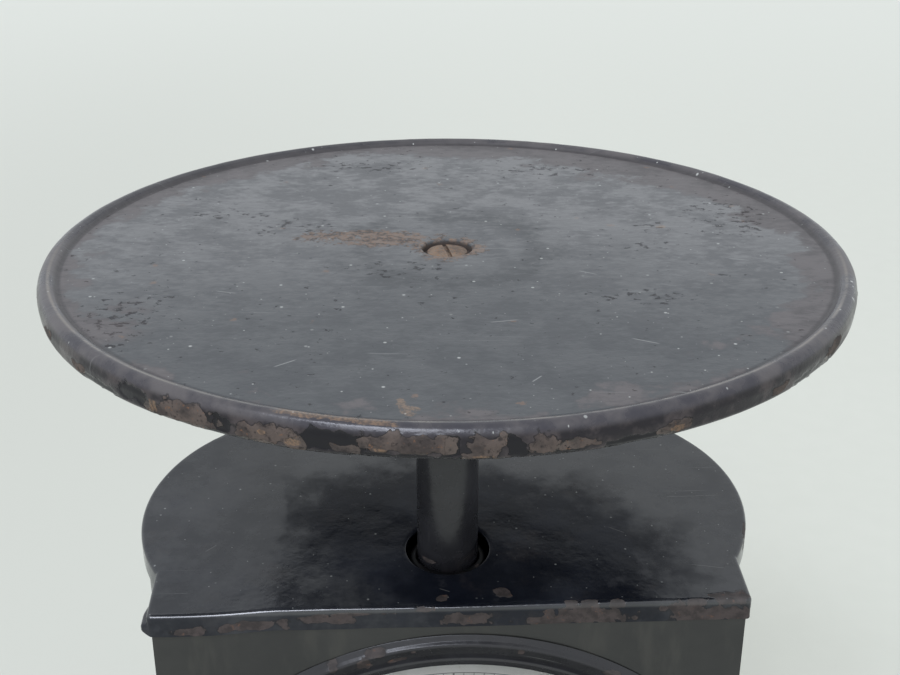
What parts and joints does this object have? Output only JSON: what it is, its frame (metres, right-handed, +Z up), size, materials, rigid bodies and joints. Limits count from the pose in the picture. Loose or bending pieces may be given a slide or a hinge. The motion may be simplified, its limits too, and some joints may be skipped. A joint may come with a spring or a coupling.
{
  "type": "mechanical dial platform scale",
  "caption": "Spring counter scale: round raised-rim plate on a post, sheet-metal body with lobed roof, round dial in front, rack and pinion pointer.",
  "frame": {"origin": "on the surface the scale stands on, under the middle of the round plate", "axes": "+Z up, +Y from the dial towards the back, +X to the right as seen from the front"},
  "size_m": [0.26, 0.26, 0.39],
  "materials": {
    "cast_iron_paint": "worn semi-gloss black paint on cast iron, chipped to brown rust",
    "gloss_paint": "aged gloss black paint, scratched and chipped at the edges",
    "panel_paint": "dull grey-black paint with a slight olive cast",
    "rusty_steel": "dark steel with brown rust",
    "pointer_black": "black painted steel",
    "steel": "plain machined steel",
    "brass": "dull brass",
    "dial_white": "printed white enamel, slightly aged",
    "glass": "clear flat glass",
    "rubber": "black rubber"
  },
  "bodies": {
    "root": {"base_casting": "cast_iron_paint", "foot_1": "rubber", "foot_2": "rubber", "foot_3": "rubber", "foot_4": "rubber", "case_shell": "gloss_paint", "roof_cover": "gloss_paint", "front_panel": "panel_paint", "back_cover": "gloss_paint", "back_screw_1": "rusty_steel", "back_screw_2": "rusty_steel", "back_screw_3": "rusty_steel", "back_screw_4": "rusty_steel", "case_screw_right": "rusty_steel", "case_screw_left": "rusty_steel", "case_screw_front_right": "rusty_steel", "case_screw_front_left": "rusty_steel", "dial_bezel": "gloss_paint", "dial_glass": "glass", "glass_gasket": "rubber", "dial_plate": "dial_white", "dial_pan": "gloss_paint", "dial_pillar_1": "brass", "dial_screw_1": "brass", "dial_pillar_2": "brass", "dial_screw_2": "brass", "front_bearing": "brass", "rear_bearing_bracket": "steel", "rear_bearing": "brass", "spring_beam": "steel", "pillar_left": "steel", "pillar_nut_left": "steel", "spring_stud_left": "steel", "pillar_right": "steel", "pillar_nut_right": "steel", "spring_stud_right": "steel", "guide_collar": "gloss_paint", "link_post": "steel", "upper_rear_pin": "steel", "lower_rear_pin": "steel"},
    "platform": {"plate": "cast_iron_paint", "plate_screw": "rusty_steel", "post": "gloss_paint", "crosshead": "steel", "strap_left": "steel", "strap_right": "steel", "lower_yoke": "steel", "rack": "brass", "upper_front_pin": "steel", "lower_front_pin": "steel", "spring_left": "steel", "spring_right": "steel"},
    "pointer_assembly": {"pointer": "pointer_black", "pointer_cap": "brass", "pointer_shaft": "steel", "pinion": "brass"},
    "upper_link_arm": {"upper_link": "steel"},
    "lower_link_arm": {"lower_link": "steel"},
    "zero_screw": {"zero_knob": "brass"},
    "zero_nut_block": {"zero_nut": "brass"}
  },
  "joints": [
    {"name": "platform_slide", "type": "slide", "parent": "root", "child": "platform", "axis": [0, 0, -1], "range_m": [0, 0.015], "stiffness_N_per_m": 5000, "springref_m": -0.0095, "deforming": ["spring_left", "spring_right"]},
    {"name": "pointer_turn", "type": "hinge", "parent": "root", "child": "pointer_assembly", "pos_m": [0.003, 0, 0.1422], "axis": [0, 1, 0], "range_deg": [0, 343.97]},
    {"name": "upper_link_swing", "type": "hinge", "parent": "root", "child": "upper_link_arm", "pos_m": [0, 0.075, 0.2195], "axis": [1, 0, 0], "range_deg": [0, 13.89]},
    {"name": "lower_link_swing", "type": "hinge", "parent": "root", "child": "lower_link_arm", "pos_m": [0, 0.075, 0.0873], "axis": [1, 0, 0], "range_deg": [0, 13.89]},
    {"name": "zero_knob_turn", "type": "hinge", "parent": "root", "child": "zero_screw", "pos_m": [0, 0.06, 0.28], "axis": [0, 0, 1], "range_deg": [-540, 540]},
    {"name": "zero_nut_slide", "type": "slide", "parent": "root", "child": "zero_nut_block", "axis": [0, 0, 1], "range_m": [-0.0013, 0.0013]}
  ],
  "couplings": [
    {"joint": "pointer_turn", "follows": "platform_slide", "rad_per_m": 400},
    {"joint": "upper_link_swing", "follows": "platform_slide", "rad_per_m": 16.051},
    {"joint": "lower_link_swing", "follows": "platform_slide", "rad_per_m": 16.051},
    {"joint": "zero_nut_slide", "follows": "zero_knob_turn", "m_per_rad": 0.00012732}
  ]
}
